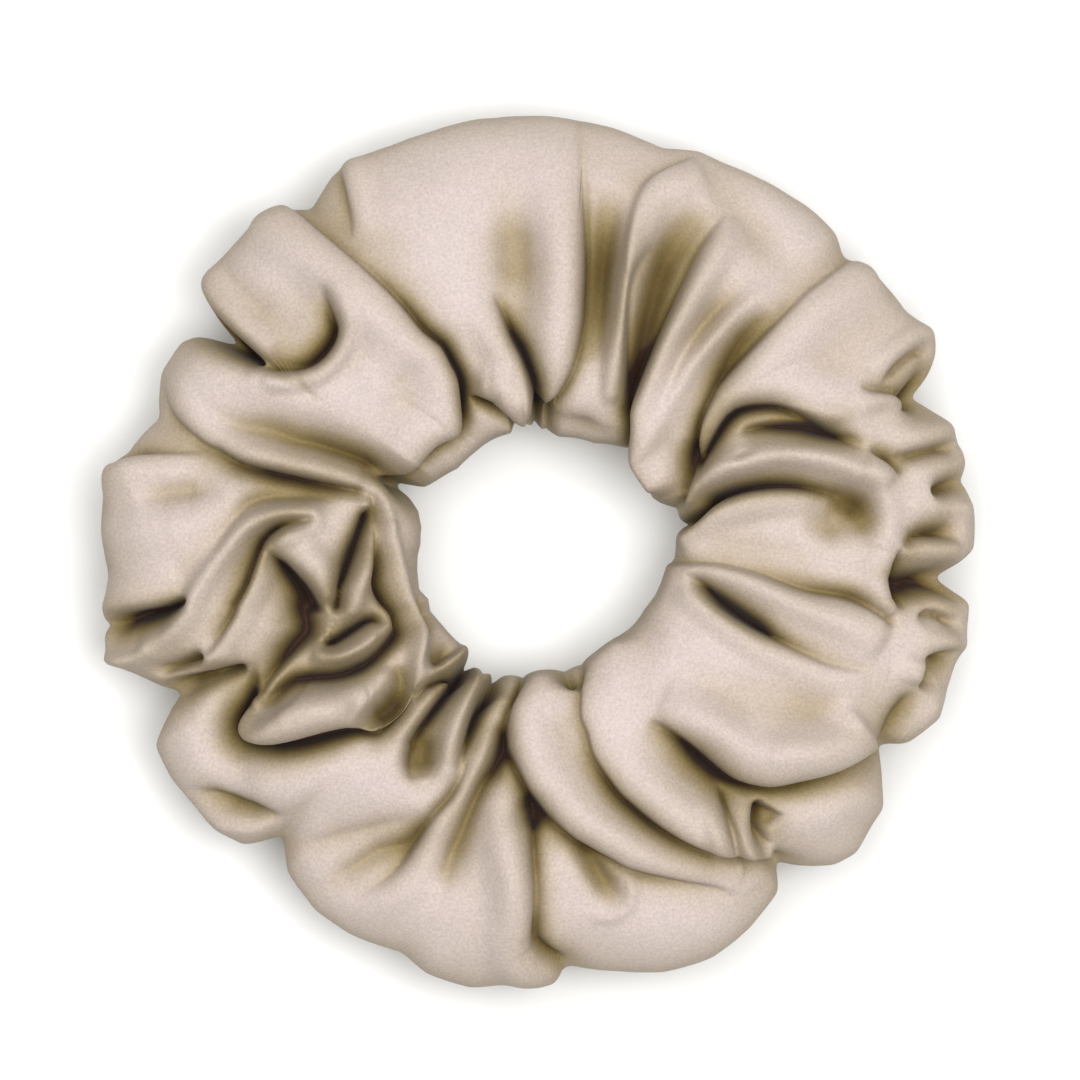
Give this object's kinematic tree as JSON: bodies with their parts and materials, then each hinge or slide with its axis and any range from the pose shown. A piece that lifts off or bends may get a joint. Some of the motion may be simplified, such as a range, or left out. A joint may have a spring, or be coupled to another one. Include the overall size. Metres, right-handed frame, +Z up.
{
  "type": "scrunchie",
  "caption": "Gathered satin hair tie: a sewn cloth tube bunched up on a stitched loop of flat elastic, which stretches round a ponytail or wrist.",
  "frame": {"origin": "middle of the opening, on the surface that the scrunchie lies on", "axes": "+Z up along the opening's axis, +Y roughly towards the end seam where the tube's ends meet (it is at 84 degrees from +X), +X to the right of it"},
  "size_m": [0.12, 0.12, 0.026],
  "materials": {
    "satin": "champagne satin, soft sheen",
    "elastic": "off-white woven elastic, matte",
    "white_thread": "spun polyester, matte",
    "beige_thread": "spun polyester, matte"
  },
  "bodies": {
    "root": {"satin_cover": "satin", "elastic_band": "elastic", "long_seam_needle_thread": "beige_thread", "long_seam_bobbin_thread": "beige_thread", "slip_stitch_thread": "beige_thread"},
    "join": {"elastic_join_needle_thread": "white_thread", "elastic_join_bobbin_thread": "white_thread", "end_seam_needle_thread": "beige_thread", "end_seam_bobbin_thread": "beige_thread"}
  },
  "joints": [
    {"name": "stretch", "type": "slide", "parent": "root", "child": "join", "axis": [0.1045, 0.9945, 0], "range_m": [0, 0.08], "stiffness_N_per_m": 50, "deforming": ["satin_cover", "elastic_band", "long_seam_needle_thread", "long_seam_bobbin_thread", "slip_stitch_thread"]}
  ]
}
